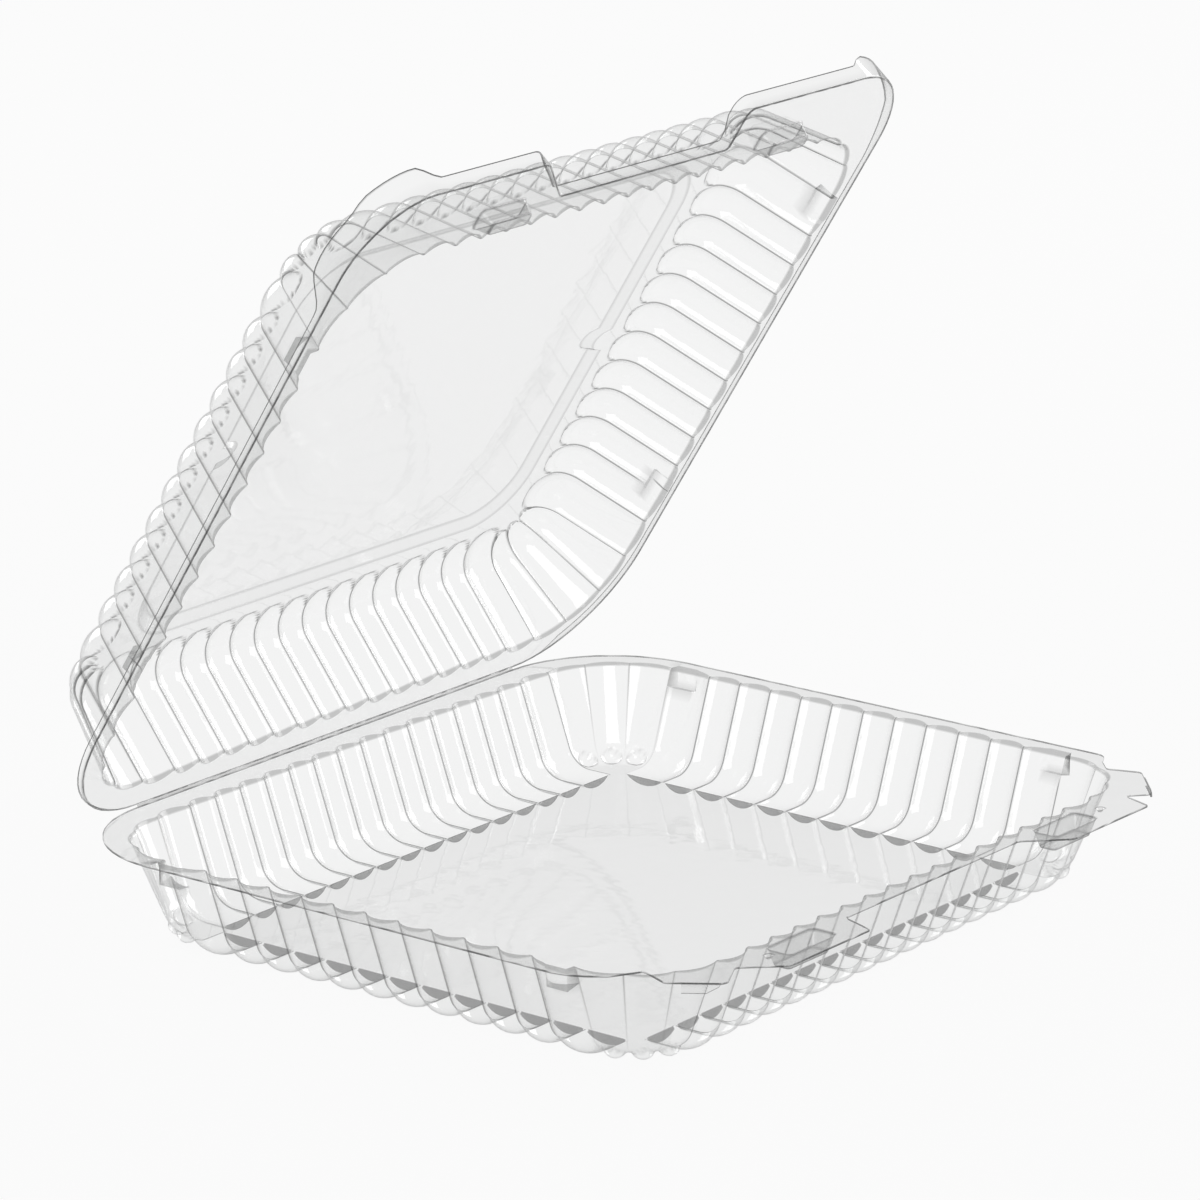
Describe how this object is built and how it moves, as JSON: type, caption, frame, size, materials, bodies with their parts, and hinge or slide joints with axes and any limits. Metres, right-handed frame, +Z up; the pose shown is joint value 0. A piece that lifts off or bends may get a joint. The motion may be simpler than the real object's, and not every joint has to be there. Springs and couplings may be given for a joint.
{
  "type": "hinged clamshell container",
  "caption": "Clear hinged clamshell pack with a shallow fluted tray, a matching domed lid on a fold hinge, and push-in latches along the front rim.",
  "frame": {"origin": "on the surface the base stands on, below the middle of the open pack", "axes": "+Z up, X along the hinge fold, +Y towards the hinge, -Y towards the latches"},
  "size_m": [0.237, 0.2298, 0.2225],
  "materials": {
    "clear_film_base": "clear glossy film",
    "clear_film_lid": "clear glossy film"
  },
  "bodies": {
    "base": {"base_tray": "clear_film_base"},
    "lid": {"lid": "clear_film_lid"}
  },
  "joints": [
    {"name": "lid_fold", "type": "hinge", "parent": "base", "child": "lid", "pos_m": [0, 0.10233, 0.02915], "axis": [-1, 0, 0], "range_deg": [-58, 122]}
  ]
}
